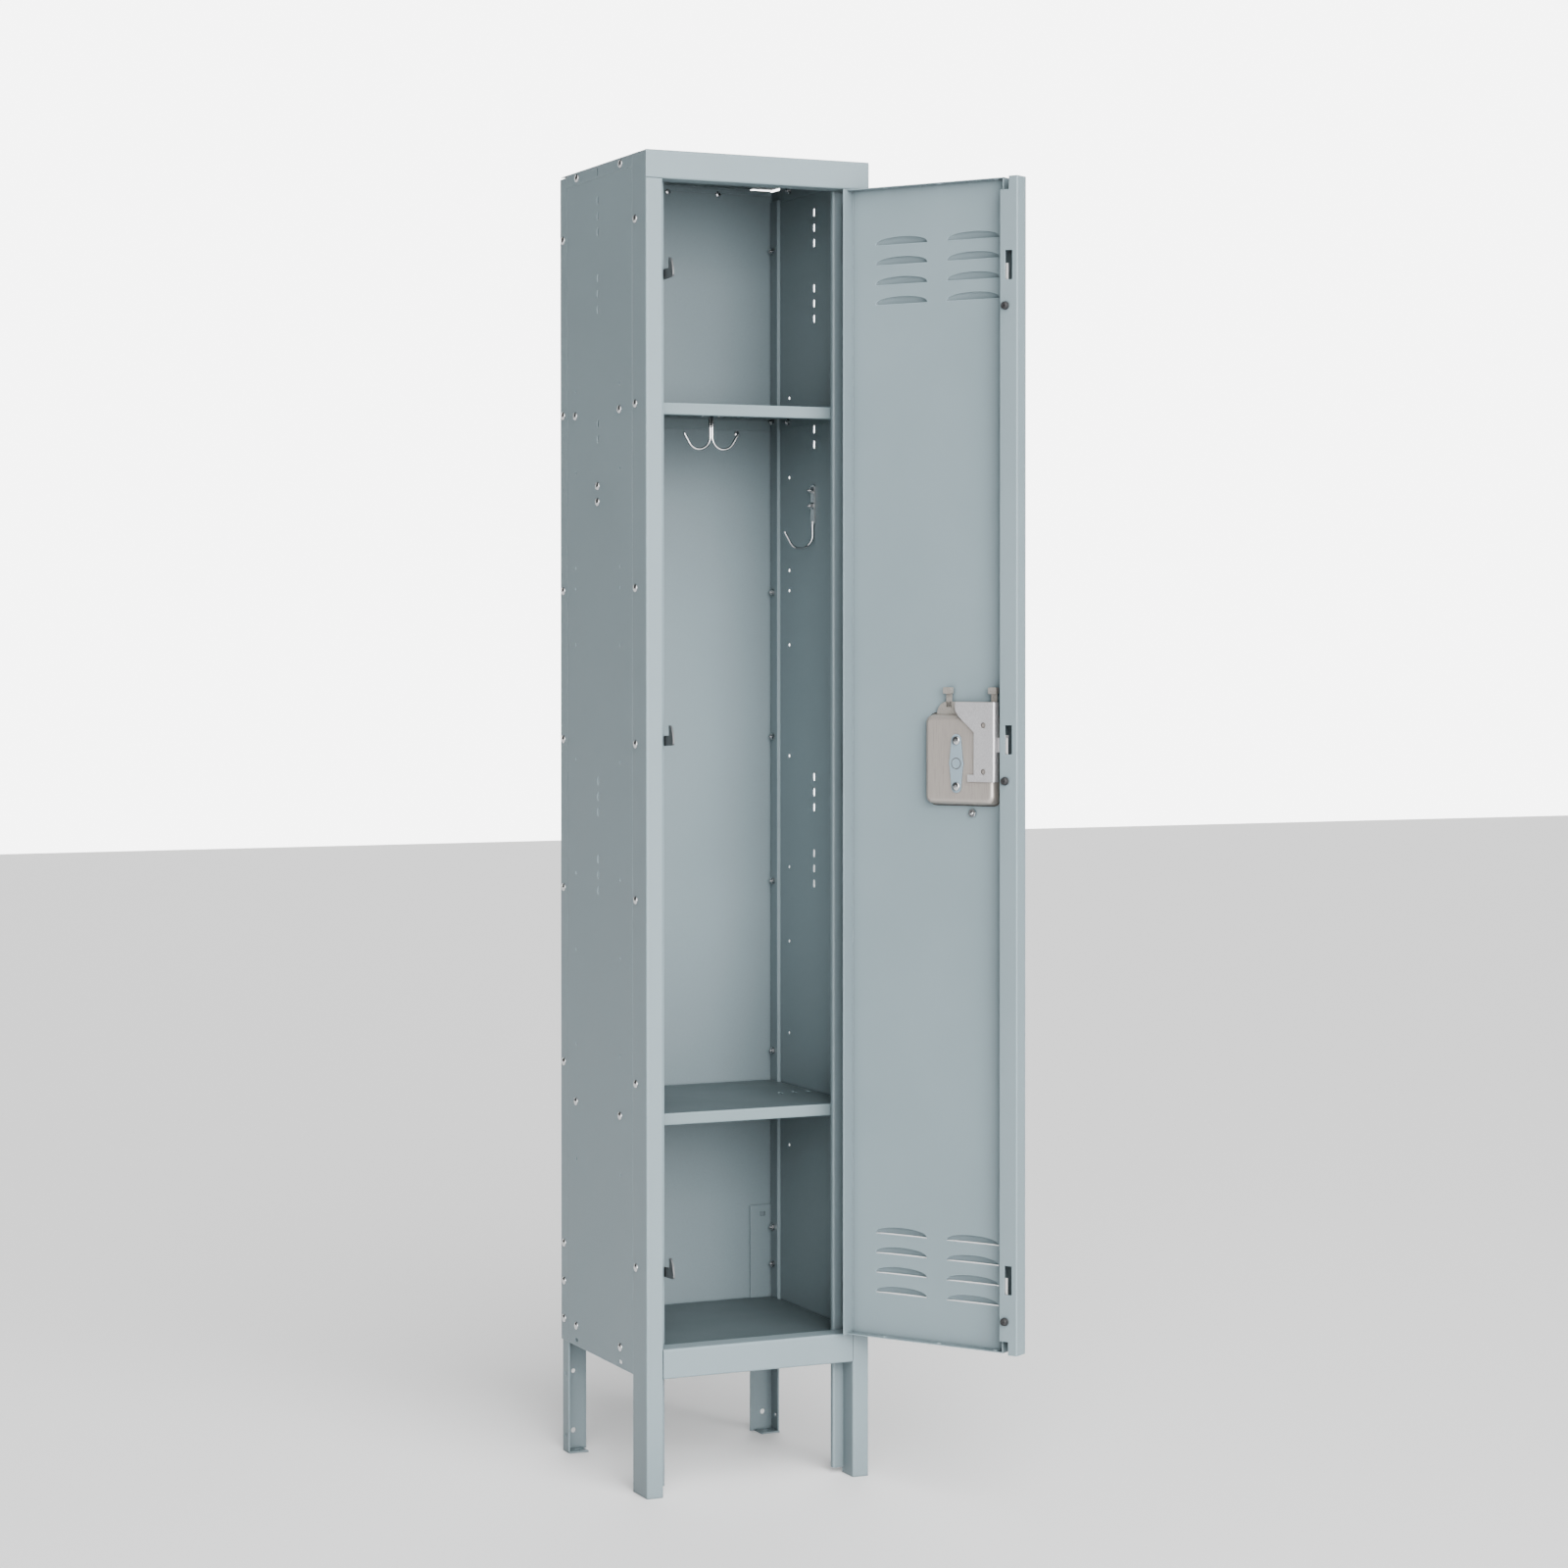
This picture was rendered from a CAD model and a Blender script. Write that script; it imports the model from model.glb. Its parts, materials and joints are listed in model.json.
"""Looks of a single-tier steel locker cabinet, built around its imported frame.

The frame's origin is the cabinet's front left corner on the floor, with +X to the right along
the front, +Y to the back and +Z up. Shapes are worked out in millimetres, and MM turns them into
metres. What belongs to the door is worked out on the shut door, and Workshop swings it to where
the door stands open at rest.
"""

import json
import logging
import math
from dataclasses import dataclass
from enum import Enum
from typing import Any, Iterable, Sequence

import bmesh
import bpy
from mathutils import Matrix, Vector

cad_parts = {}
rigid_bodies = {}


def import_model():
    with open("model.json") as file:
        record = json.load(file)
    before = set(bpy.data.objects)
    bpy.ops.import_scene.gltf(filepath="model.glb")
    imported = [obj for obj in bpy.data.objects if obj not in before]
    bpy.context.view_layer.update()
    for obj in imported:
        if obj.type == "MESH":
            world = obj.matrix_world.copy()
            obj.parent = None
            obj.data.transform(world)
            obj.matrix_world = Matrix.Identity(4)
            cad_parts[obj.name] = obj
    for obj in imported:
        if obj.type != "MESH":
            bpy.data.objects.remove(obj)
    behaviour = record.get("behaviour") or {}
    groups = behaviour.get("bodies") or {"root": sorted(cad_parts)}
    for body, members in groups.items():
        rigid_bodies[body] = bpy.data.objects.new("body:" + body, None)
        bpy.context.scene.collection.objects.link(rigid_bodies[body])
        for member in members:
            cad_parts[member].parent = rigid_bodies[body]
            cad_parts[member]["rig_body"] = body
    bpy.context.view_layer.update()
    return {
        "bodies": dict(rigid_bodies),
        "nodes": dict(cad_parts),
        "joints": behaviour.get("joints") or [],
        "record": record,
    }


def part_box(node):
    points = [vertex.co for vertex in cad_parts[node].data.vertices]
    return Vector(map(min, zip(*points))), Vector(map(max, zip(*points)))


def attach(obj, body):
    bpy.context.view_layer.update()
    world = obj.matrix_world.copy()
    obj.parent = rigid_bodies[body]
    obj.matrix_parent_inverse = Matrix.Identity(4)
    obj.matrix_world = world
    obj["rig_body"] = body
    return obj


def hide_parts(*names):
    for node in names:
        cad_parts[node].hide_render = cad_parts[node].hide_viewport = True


MM = 0.001
TIERS = ("upper", "middle", "lower")

Point2 = tuple[float, float]
Point3 = tuple[float, float, float]
Span = tuple[float, float]
Colour = tuple[float, float, float]

LOG = logging.getLogger("locker")


class Body(Enum):
    """The bodies that a piece can ride on."""

    CABINET = "cabinet"
    DOOR = "door"
    LIFT = "finger_lift"
    BAR = "lock_bar"

    @property
    def swings(self) -> bool:
        """Whether the body hangs on the door's hinge."""
        return self is not Body.CABINET


class Slot(Enum):
    """The record's material slots that new pieces take their finish from."""

    CABINET = "cabinet_paint"
    DOOR = "door_paint"
    COVER = "cover_paint"
    HINGE = "hinge_paint"
    ZINC = "zinc_steel"
    DARK = "dark_steel"
    CHROME = "chrome"
    CUP = "stainless_cup"
    LATCH = "latch_steel"
    RUBBER = "bumper_rubber"


class Axis(Enum):
    """The direction that a turned piece points in, as a matrix that turns +Z to it."""

    UP = Matrix.Identity(4)
    DOWN = Matrix.Rotation(math.pi, 4, "X")
    LEFT = Matrix.Rotation(-math.pi / 2, 4, "Y")
    RIGHT = Matrix.Rotation(math.pi / 2, 4, "Y")
    FRONT = Matrix.Rotation(math.pi / 2, 4, "X")
    BACK = Matrix.Rotation(-math.pi / 2, 4, "X")


# ------------------------------------------------------------------ finishes


class Recipe:
    """A material's node tree, with short ways to add to it."""

    def __init__(self, name: str) -> None:
        """Starts a material that holds only a Principled shader.

        Args:
            name: The material's name.
        """
        self.material = bpy.data.materials.new(name)
        self.material.use_nodes = True
        self.tree = self.material.node_tree
        self.shader = self.tree.nodes["Principled BSDF"]
        self.place = self.node("ShaderNodeTexCoord").outputs["Object"]

    def node(self, kind: str, **settings: Any) -> bpy.types.Node:
        """Adds a node.

        Args:
            kind: Blender's name of the node type.
            **settings: Properties of the node, or values of its inputs with spaces as _.

        Returns:
            The new node.
        """
        made = self.tree.nodes.new(kind)
        for key, value in settings.items():
            socket = made.inputs.get(key.replace("_", " "))
            if socket is not None:
                socket.default_value = value
            else:
                setattr(made, key, value)
        return made

    def link(self, source: bpy.types.NodeSocket, target: bpy.types.NodeSocket) -> None:
        """Joins an output to an input."""
        self.tree.links.new(source, target)

    def fixed(self, **values: Any) -> None:
        """Sets sockets of the shader itself, with spaces in their names as _."""
        for key, value in values.items():
            self.shader.inputs[key.replace("_", " ")].default_value = value

    def stretched(self, scale: Point3) -> bpy.types.NodeSocket:
        """The object's coordinates, multiplied along each axis.

        Args:
            scale: The three factors.

        Returns:
            The stretched coordinates.
        """
        mapping = self.node("ShaderNodeMapping", Scale=scale)
        self.link(self.place, mapping.inputs["Vector"])
        return mapping.outputs["Vector"]

    def noise(self, scale: float, detail: float = 2.0, vector: Any = None) -> bpy.types.NodeSocket:
        """A noise pattern.

        Args:
            scale: How many of its lumps go in a metre, about.
            detail: How many octaves it has.
            vector: Other coordinates than the object's own.

        Returns:
            Its value, around one half.
        """
        made = self.node("ShaderNodeTexNoise", Scale=scale, Detail=detail)
        self.link(vector or self.place, made.inputs["Vector"])
        return made.outputs["Fac"]

    def spread(self, value: bpy.types.NodeSocket, source: Span, target: Span) -> bpy.types.NodeSocket:
        """Maps a value from one range to another and keeps it inside.

        Args:
            value: What is mapped.
            source: The range that it comes in.
            target: The range that it goes to.

        Returns:
            The mapped value.
        """
        made = self.node("ShaderNodeMapRange")
        for index, number in enumerate((*source, *target), 1):
            made.inputs[index].default_value = number
        self.link(value, made.inputs[0])
        return made.outputs[0]

    def blend(self, share: bpy.types.NodeSocket, low: Any, high: Any) -> bpy.types.NodeSocket:
        """Mixes two colours.

        Args:
            share: From 0, all low, to 1, all high.
            low: A colour or an output.
            high: A colour or an output.

        Returns:
            The mixed colour.
        """
        made = self.node("ShaderNodeMix", data_type="RGBA")
        self.link(share, made.inputs[0])
        for socket, value in ((made.inputs[6], low), (made.inputs[7], high)):
            if isinstance(value, bpy.types.NodeSocket):
                self.link(value, socket)
            else:
                socket.default_value = (*value, 1.0)
        return made.outputs[2]

    def rounded(self, radius: float) -> bpy.types.NodeSocket:
        """Normals that round each edge off.

        Args:
            radius: The rounding's radius in millimetres.

        Returns:
            The rounded normal.
        """
        return self.node("ShaderNodeBevel", samples=4, Radius=radius * MM).outputs["Normal"]

    def bump(self, height: bpy.types.NodeSocket, depth: float, strength: float, normal: Any = None) -> None:
        """Drives the shader's normal from a height.

        Args:
            height: The pattern, from 0 to 1.
            depth: How high 1 stands, in millimetres.
            strength: How much of it shows.
            normal: The normal that it starts from.
        """
        made = self.node("ShaderNodeBump", Strength=strength, Distance=depth * MM)
        self.link(height, made.inputs["Height"])
        if normal is not None:
            self.link(normal, made.inputs["Normal"])
        self.link(made.outputs["Normal"], self.shader.inputs["Normal"])

    def openness(self, reach: float) -> bpy.types.NodeSocket:
        """How open the surface lies, from 0 in a seam or a deep recess to 1 in the open.

        Args:
            reach: How far off a neighbour still counts, in millimetres.

        Returns:
            The openness.
        """
        made = self.node("ShaderNodeAmbientOcclusion", samples=5, Distance=reach * MM)
        return made.outputs["AO"]

    def facing_up(self) -> bpy.types.NodeSocket:
        """How far a face looks up, from 0 to 1."""
        axes = self.node("ShaderNodeSeparateXYZ")
        self.link(self.node("ShaderNodeNewGeometry").outputs["Normal"], axes.inputs[0])
        return self.spread(axes.outputs["Z"], (0.6, 0.95), (0.0, 1.0))

    def edges(self, normal: bpy.types.NodeSocket, worn: Span = (0.005, 0.14)) -> bpy.types.NodeSocket:
        """Where the surface turns an edge.

        Args:
            normal: The rounded normal.
            worn: How far the rounded normal leans from the true one, where the mask starts and ends.

        Returns:
            1 on edges and 0 on flat stretches.
        """
        flat = self.node("ShaderNodeNewGeometry").outputs["True Normal"]
        dot = self.node("ShaderNodeVectorMath", operation="DOT_PRODUCT")
        self.link(normal, dot.inputs[0])
        self.link(flat, dot.inputs[1])
        return self.spread(dot.outputs["Value"], (1.0 - worn[0], 1.0 - worn[1]), (0.0, 1.0))


@dataclass(frozen=True)
class Enamel:
    """Baked enamel on sheet steel: a faint orange peel, cloudy shade, lighter edges and darker seams."""

    name: str
    colour: Colour
    roughness: float = 0.46
    edge: float = 2.0
    fold: float = 1.1
    seam: float = 0.3
    seam_reach: float = 5.0
    inner: float = 0.5
    inner_reach: float = 260.0
    peel: float = 0.12
    upper: float = 1.0

    def make(self) -> bpy.types.Material:
        """Builds the material."""
        recipe = Recipe(self.name)
        clouds = recipe.noise(7.0, 3.0)
        grain = recipe.noise(900.0, 2.0)
        deep = tuple(channel * 0.965 for channel in self.colour)
        light = tuple(min(channel * 1.03, 1.0) for channel in self.colour)
        lit_edge = tuple(min(channel * self.edge, 0.95) for channel in self.colour)
        base = recipe.blend(recipe.spread(clouds, (0.3, 0.7), (0.0, 1.0)), deep, light)
        speckled = recipe.blend(recipe.spread(grain, (0.35, 0.65), (0.0, 0.22)), base, light)
        normal = recipe.rounded(self.fold)
        edged = recipe.blend(recipe.edges(normal), speckled, lit_edge)
        open_share = recipe.spread(recipe.openness(self.seam_reach), (0.15, 0.75), (0.0, 1.0))
        seamed = recipe.blend(open_share, tuple(channel * self.seam for channel in self.colour), edged)
        inside = recipe.spread(recipe.openness(self.inner_reach), (0.1, 0.7), (0.0, 1.0))
        shaded = recipe.blend(inside, tuple(channel * self.inner for channel in self.colour), seamed)
        colour = recipe.blend(open_share, tuple(channel * self.seam for channel in self.colour), shaded)
        if self.upper < 1:
            worn = tuple(channel * self.upper for channel in self.colour)
            colour = recipe.blend(recipe.facing_up(), colour, worn)
        recipe.link(colour, recipe.shader.inputs["Base Color"])
        rough = recipe.spread(clouds, (0.3, 0.7), (self.roughness - 0.03, self.roughness + 0.05))
        recipe.link(rough, recipe.shader.inputs["Roughness"])
        recipe.fixed(Specular_IOR_Level=0.3)
        recipe.bump(recipe.noise(650.0, 1.0), 0.05, self.peel, normal)
        return recipe.material


@dataclass(frozen=True)
class BrushedSteel:
    """Bare steel with fine straight brush lines along one axis, and a few handling marks."""

    name: str
    colour: Colour
    roughness: float = 0.33
    lines: Point3 = (4200.0, 4200.0, 30.0)
    depth: float = 0.02
    seam: float = 0.12
    seam_reach: float = 3.5

    def make(self) -> bpy.types.Material:
        """Builds the material."""
        recipe = Recipe(self.name)
        strokes = recipe.noise(1.0, 3.0, recipe.stretched(self.lines))
        clouds = recipe.noise(45.0, 2.0)
        deep = tuple(channel * 0.82 for channel in self.colour)
        light = tuple(min(channel * 1.12, 1.0) for channel in self.colour)
        streaked = recipe.blend(recipe.spread(strokes, (0.3, 0.7), (0.0, 1.0)), deep, light)
        base = recipe.blend(recipe.spread(clouds, (0.35, 0.75), (0.0, 0.35)), streaked, self.colour)
        open_share = recipe.spread(recipe.openness(self.seam_reach), (0.2, 0.8), (0.0, 1.0))
        seamed = recipe.blend(open_share, tuple(channel * self.seam for channel in self.colour), base)
        recipe.link(seamed, recipe.shader.inputs["Base Color"])
        rough = recipe.spread(strokes, (0.3, 0.7), (self.roughness - 0.07, self.roughness + 0.1))
        recipe.link(rough, recipe.shader.inputs["Roughness"])
        recipe.fixed(Metallic=0.6)
        recipe.bump(strokes, self.depth, 0.3, recipe.rounded(0.25))
        return recipe.material


@dataclass(frozen=True)
class Plating:
    """A plated finish, from bright chrome to dull zinc, with faint spots."""

    name: str
    colour: Colour
    roughness: float = 0.12
    spots: float = 0.08
    scale: float = 260.0

    def make(self) -> bpy.types.Material:
        """Builds the material."""
        recipe = Recipe(self.name)
        mottle = recipe.noise(self.scale, 3.0)
        deep = tuple(channel * (1.0 - 2.0 * self.spots) for channel in self.colour)
        base = recipe.blend(recipe.spread(mottle, (0.3, 0.7), (0.0, 1.0)), deep, self.colour)
        recipe.link(base, recipe.shader.inputs["Base Color"])
        rough = recipe.spread(mottle, (0.3, 0.7), (self.roughness, self.roughness + self.spots))
        recipe.link(rough, recipe.shader.inputs["Roughness"])
        recipe.fixed(Metallic=1.0)
        recipe.bump(mottle, 0.01, 0.15)
        return recipe.material


@dataclass(frozen=True)
class Rubber:
    """Black moulded rubber with a fine matt grain and a little dust."""

    name: str = "black_rubber"
    colour: Colour = (0.012, 0.012, 0.013)

    def make(self) -> bpy.types.Material:
        """Builds the material."""
        recipe = Recipe(self.name)
        dust = recipe.noise(500.0, 4.0)
        dusty = tuple(channel + 0.02 for channel in self.colour)
        base = recipe.blend(recipe.spread(dust, (0.45, 0.8), (0.0, 1.0)), self.colour, dusty)
        recipe.link(base, recipe.shader.inputs["Base Color"])
        recipe.link(recipe.spread(dust, (0.3, 0.7), (0.42, 0.62)), recipe.shader.inputs["Roughness"])
        recipe.bump(recipe.noise(2600.0, 1.0), 0.03, 0.3)
        return recipe.material


PAINT = (0.172, 0.224, 0.244)

CABINET_ENAMEL = Enamel("cabinet_enamel", PAINT)
SHELF_ENAMEL = Enamel("shelf_enamel", (0.15, 0.2, 0.215), roughness=0.5, upper=0.42)
DOOR_ENAMEL = Enamel("door_enamel", PAINT)
HINGE_ENAMEL = Enamel("hinge_enamel", (0.165, 0.215, 0.235), peel=0.25)
COVER_ENAMEL = Enamel("cover_enamel", (0.19, 0.25, 0.29), roughness=0.36, fold=0.4)
STAINLESS = BrushedSteel("brushed_stainless", (0.40, 0.365, 0.335))
LATCH_STEEL = BrushedSteel("latch_steel", (0.50, 0.495, 0.51), 0.38, (900.0, 900.0, 500.0))
LIFT_STEEL = BrushedSteel("lift_steel", (0.36, 0.34, 0.31), 0.34, (900.0, 900.0, 500.0))
BAR_STEEL = BrushedSteel("bar_steel", (0.80, 0.80, 0.80), 0.4)
STRIKE_STEEL = BrushedSteel("strike_steel", (0.13, 0.135, 0.14), 0.4, (300.0, 2500.0, 300.0))
CHROME = Plating("chrome_plate", (0.56, 0.57, 0.58), 0.08, 0.03)
ZINC = Plating("zinc_plate", (0.5, 0.51, 0.52), 0.22, 0.1)
BLACK_RUBBER = Rubber()


class Paintbox:
    """Makes each finish once."""

    def __init__(self) -> None:
        """Starts with no material made."""
        self.made: dict[str, bpy.types.Material] = {}

    def mix(self, finish: Any) -> bpy.types.Material:
        """The material of a finish.

        Args:
            finish: Any of the finish classes.

        Returns:
            Its material, the same one each time.
        """
        if finish.name not in self.made:
            self.made[finish.name] = finish.make()
        return self.made[finish.name]


# -------------------------------------------------------------------- shapes


class Shape:
    """A closed mesh in millimetres, before it becomes a piece."""

    def __init__(self) -> None:
        """Starts empty."""
        self.bm = bmesh.new()

    @classmethod
    def loft(cls, rings: Sequence[Sequence[Vector]], capped: bool = True) -> "Shape":
        """A skin through rings with the same number of points.

        Args:
            rings: The rings, in order. A ring of one point closes the skin to a tip.
            capped: Whether the first and last ring are filled.

        Returns:
            The shape.
        """
        made = cls()
        loops = [[made.bm.verts.new(point) for point in ring] for ring in rings]
        for low, high in zip(loops, loops[1:]):
            count = max(len(low), len(high))
            for i in range(count):
                j = (i + 1) % count
                if len(low) == 1:
                    made.bm.faces.new((low[0], high[i], high[j]))
                elif len(high) == 1:
                    made.bm.faces.new((low[i], low[j], high[0]))
                else:
                    made.bm.faces.new((low[i], low[j], high[j], high[i]))
        if capped:
            for loop in (loops[0], loops[-1]):
                if len(loop) > 2:
                    made.bm.faces.new(loop)
        return made

    @classmethod
    def prism(cls, outline: Sequence[Point2], plane: str, start: float, end: float) -> "Shape":
        """An outline pushed along the third axis.

        Args:
            outline: The closed outline's corners.
            plane: The outline's two axes, such as "xz".
            start: Where it starts on the third axis.
            end: Where it ends there.

        Returns:
            The shape.
        """
        first, second = ("xyz".index(letter) for letter in plane)
        along = 3 - first - second
        rings = []
        for level in (start, end):
            ring = []
            for a, b in outline:
                place = [0.0, 0.0, 0.0]
                place[first] = a
                place[second] = b
                place[along] = level
                ring.append(Vector(place))
            rings.append(ring)
        return cls.loft(rings)

    @classmethod
    def box(cls, x: Span, y: Span, z: Span) -> "Shape":
        """A box from its three (low, high) pairs."""
        return cls.prism(((x[0], y[0]), (x[1], y[0]), (x[1], y[1]), (x[0], y[1])), "xy", *z)

    @classmethod
    def turned(cls, profile: Sequence[Point2], sides: int = 32, twist: float = 0.0) -> "Shape":
        """A profile turned about +Z.

        Args:
            profile: (radius, height) points. A radius of 0 closes the shape there.
            sides: How many sides it has.
            twist: The angle of its first side, in degrees.

        Returns:
            The shape.
        """
        rings = []
        for radius, height in profile:
            if radius == 0:
                rings.append([Vector((0, 0, height))])
                continue
            angles = (2 * math.pi * k / sides + math.radians(twist) for k in range(sides))
            rings.append([Vector((radius * math.cos(a), radius * math.sin(a), height)) for a in angles])
        return cls.loft(rings)

    @classmethod
    def rod(cls, path: Sequence[Vector], radius: float, sides: int = 20) -> "Shape":
        """A round rod along a path in a plane, with rounded ends.

        Args:
            path: The centreline.
            radius: The rod's radius.
            sides: How many sides it has.

        Returns:
            The shape.
        """
        places = list(path)
        turns = 5
        stations = []
        first = (places[1] - places[0]).normalized()
        last = (places[-1] - places[-2]).normalized()
        for step in range(1, turns):
            angle = math.pi / 2 * step / turns
            stations.append((places[0] - first * radius * math.cos(angle), first, math.sin(angle)))
        for i, place in enumerate(places):
            ahead = places[min(i + 1, len(places) - 1)]
            behind = places[max(i - 1, 0)]
            stations.append((place, (ahead - behind).normalized(), 1.0))
        for step in range(turns - 1, 0, -1):
            angle = math.pi / 2 * step / turns
            stations.append((places[-1] + last * radius * math.cos(angle), last, math.sin(angle)))
        rings = [[places[0] - first * radius]]
        for place, along, share in stations:
            across = along.cross(Vector((0, 1, 0))).normalized()
            other = along.cross(across)
            ring = []
            for k in range(sides):
                angle = 2 * math.pi * k / sides
                spoke = across * math.cos(angle) + other * math.sin(angle)
                ring.append(place + spoke * radius * share)
            rings.append(ring)
        rings.append([places[-1] + last * radius])
        return cls.loft(rings)

    def moved(self, matrix: Matrix) -> "Shape":
        """Moves, turns or mirrors the shape."""
        bmesh.ops.transform(self.bm, matrix=matrix, verts=self.bm.verts)
        return self

    def at(self, place: Sequence[float], axis: Axis = Axis.UP) -> "Shape":
        """Points the shape's +Z along an axis and puts its origin at a place."""
        return self.moved(Matrix.Translation(place) @ axis.value)

    def joined(self, *others: "Shape") -> "Shape":
        """Adds other shapes, which keep their own surfaces."""
        for other in others:
            scratch = bpy.data.meshes.new("scratch")
            other.bm.to_mesh(scratch)
            other.bm.free()
            self.bm.from_mesh(scratch)
            bpy.data.meshes.remove(scratch)
        return self

    def to_object(self, name: str, matrix: Matrix) -> bpy.types.Object:
        """Turns the shape into an object in metres.

        Args:
            name: The object's name.
            matrix: Where the shape goes, in millimetres.

        Returns:
            The object, linked to the scene.
        """
        self.moved(Matrix.Scale(MM, 4) @ matrix)
        bmesh.ops.recalc_face_normals(self.bm, faces=self.bm.faces)
        mesh = bpy.data.meshes.new(name)
        self.bm.to_mesh(mesh)
        self.bm.free()
        made = bpy.data.objects.new(name, mesh)
        bpy.context.scene.collection.objects.link(made)
        return made


def arc(centre: Point2, radius: float, start: float, end: float, steps: int) -> list[Point2]:
    """Points along an arc.

    Args:
        centre: The arc's centre.
        radius: Its radius.
        start: Its first angle, in degrees.
        end: Its last angle, in degrees.
        steps: How many steps it is made in.

    Returns:
        The points, both ends included.
    """
    angles = (math.radians(start + (end - start) * k / steps) for k in range(steps + 1))
    return [(centre[0] + radius * math.cos(a), centre[1] + radius * math.sin(a)) for a in angles]


def rounded_outline(x: Span, z: Span, radius: float, steps: int = 8) -> list[Point2]:
    """A rectangle's outline with round corners.

    Args:
        x: Its lowest and highest x.
        z: Its lowest and highest z.
        radius: The corners' radius.
        steps: How many steps each corner has.

    Returns:
        The outline.
    """
    outline = []
    centres = (
        (x[1] - radius, z[1] - radius),
        (x[0] + radius, z[1] - radius),
        (x[0] + radius, z[0] + radius),
        (x[1] - radius, z[0] + radius),
    )
    for quarter, centre in enumerate(centres):
        outline += arc(centre, radius, 90 * quarter, 90 * quarter + 90, steps)
    return outline


def folded_outline(path: Sequence[Point2], sheet: float, inner: float, steps: int = 7) -> list[Point2]:
    """The cross-section of a folded sheet.

    Args:
        path: The outer face's corners. The sheet lies left of it.
        sheet: The sheet's thickness.
        inner: The radius inside each bend.
        steps: How many steps each bend has.

    Returns:
        The closed outline.
    """
    points = [Vector(p) for p in path]
    first = (points[1] - points[0]).normalized()
    last = (points[-1] - points[-2]).normalized()
    outer = [points[0]]
    offset = [points[0] + Vector((-first.y, first.x)) * sheet]
    for before, corner, after in zip(points, points[1:], points[2:]):
        come = (corner - before).normalized()
        leave = (after - corner).normalized()
        turn = math.atan2(come.x * leave.y - come.y * leave.x, come.dot(leave))
        side = math.copysign(1.0, turn)
        near = inner + sheet if turn > 0 else inner
        far = inner if turn > 0 else inner + sheet
        centre = corner - come * near * math.tan(abs(turn) / 2)
        centre += Vector((-come.y, come.x)) * side * near
        for step in range(steps + 1):
            spoke = Matrix.Rotation(turn * step / steps, 2) @ (Vector((come.y, -come.x)) * side)
            outer.append(centre + spoke * near)
            offset.append(centre + spoke * far)
    outer.append(points[-1])
    offset.append(points[-1] + Vector((-last.y, last.x)) * sheet)
    return [(p.x, p.y) for p in outer + offset[::-1]]


def flat_rings(outlines: Iterable[tuple[Sequence[Point2], float]]) -> list[list[Vector]]:
    """Rings for a loft from (xz outline, y) pairs."""
    return [[Vector((a, y, b)) for a, b in outline] for outline, y in outlines]


# ------------------------------------------------------------------ workshop


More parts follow.
